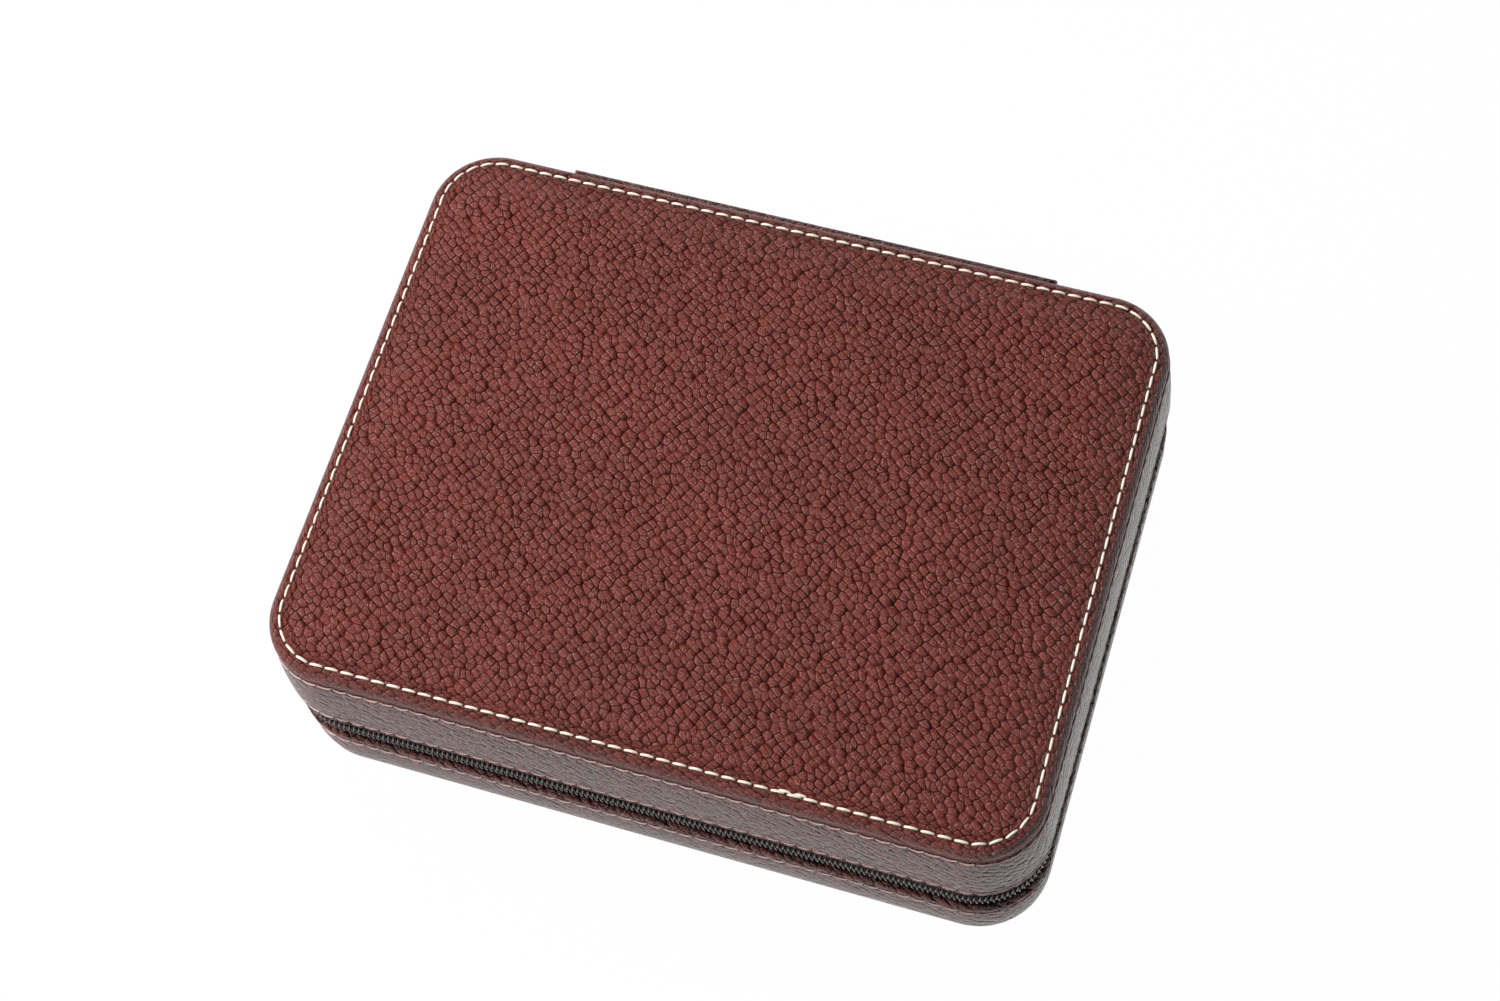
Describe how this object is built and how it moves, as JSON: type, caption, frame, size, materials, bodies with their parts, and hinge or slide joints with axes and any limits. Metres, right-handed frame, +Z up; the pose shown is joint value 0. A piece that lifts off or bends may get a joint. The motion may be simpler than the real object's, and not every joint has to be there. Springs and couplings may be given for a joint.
{
  "type": "watch travel case",
  "caption": "Zip-round travel case for wrist watches: padded, top-stitched leather shell, lid hinged on a flexible spine, lined tray with dividers and pillows, zip with slider and pull.",
  "frame": {"origin": "centre of the base's footprint on the table, on the under face", "axes": "+X along the case to the front view's right, -Y to the front, +Y to the spine and hinge, +Z up"},
  "size_m": [0.2553, 0.1958, 0.0785],
  "materials": {
    "leather_wine": "litchi-grain, satin",
    "velvet": "short pile",
    "foam": "open cell padding",
    "board": "grey board",
    "zip_tape": "woven",
    "zip_coil": "nylon",
    "metal": "plain nickel"
  },
  "bodies": {
    "base": {"bottom_leather": "leather_wine", "base_band_leather": "leather_wine", "base_side_foam": "foam", "base_board": "board", "base_lining": "velvet", "tray_frame": "velvet", "long_divider": "velvet", "cross_divider_1": "velvet", "cross_divider_2": "velvet", "cross_divider_3": "velvet", "watch_pillow_1": "velvet", "watch_pillow_2": "velvet", "watch_pillow_3": "velvet", "watch_pillow_4": "velvet", "watch_pillow_5": "velvet", "watch_pillow_6": "velvet", "watch_pillow_7": "velvet", "watch_pillow_8": "velvet", "zip_tape_base": "zip_tape", "zip_coil_base": "zip_coil", "zip_joined_teeth": "zip_coil", "zip_stops_base": "metal", "spine_base": "leather_wine", "spine_lining_base": "velvet"},
    "lid": {"lid_top_leather": "leather_wine", "lid_foam_pad": "foam", "lid_band_leather": "leather_wine", "lid_side_foam": "foam", "lid_board": "board", "lid_lining": "velvet", "lid_cushion": "velvet", "zip_tape_lid": "zip_tape", "zip_coil_lid": "zip_coil", "zip_stops_lid": "metal", "spine_lid": "leather_wine", "spine_lining_lid": "velvet"},
    "slider": {"slider_body": "metal", "slider_back_plate": "metal", "slider_bridge": "metal"},
    "pull": {"pull_tab": "metal"}
  },
  "joints": [
    {"name": "lid_hinge", "type": "hinge", "parent": "base", "child": "lid", "pos_m": [0, 0.0979, 0.031], "axis": [-1, 0, 0], "range_deg": [0, 130]},
    {"name": "zip_slider", "type": "slide", "parent": "base", "child": "slider", "axis": [0, -1, 0], "range_m": [0, 0.13]},
    {"name": "pull_hinge", "type": "hinge", "parent": "slider", "child": "pull", "pos_m": [-0.12745, 0.064, 0.031], "axis": [0, 0, -1], "range_deg": [0, 178]}
  ]
}
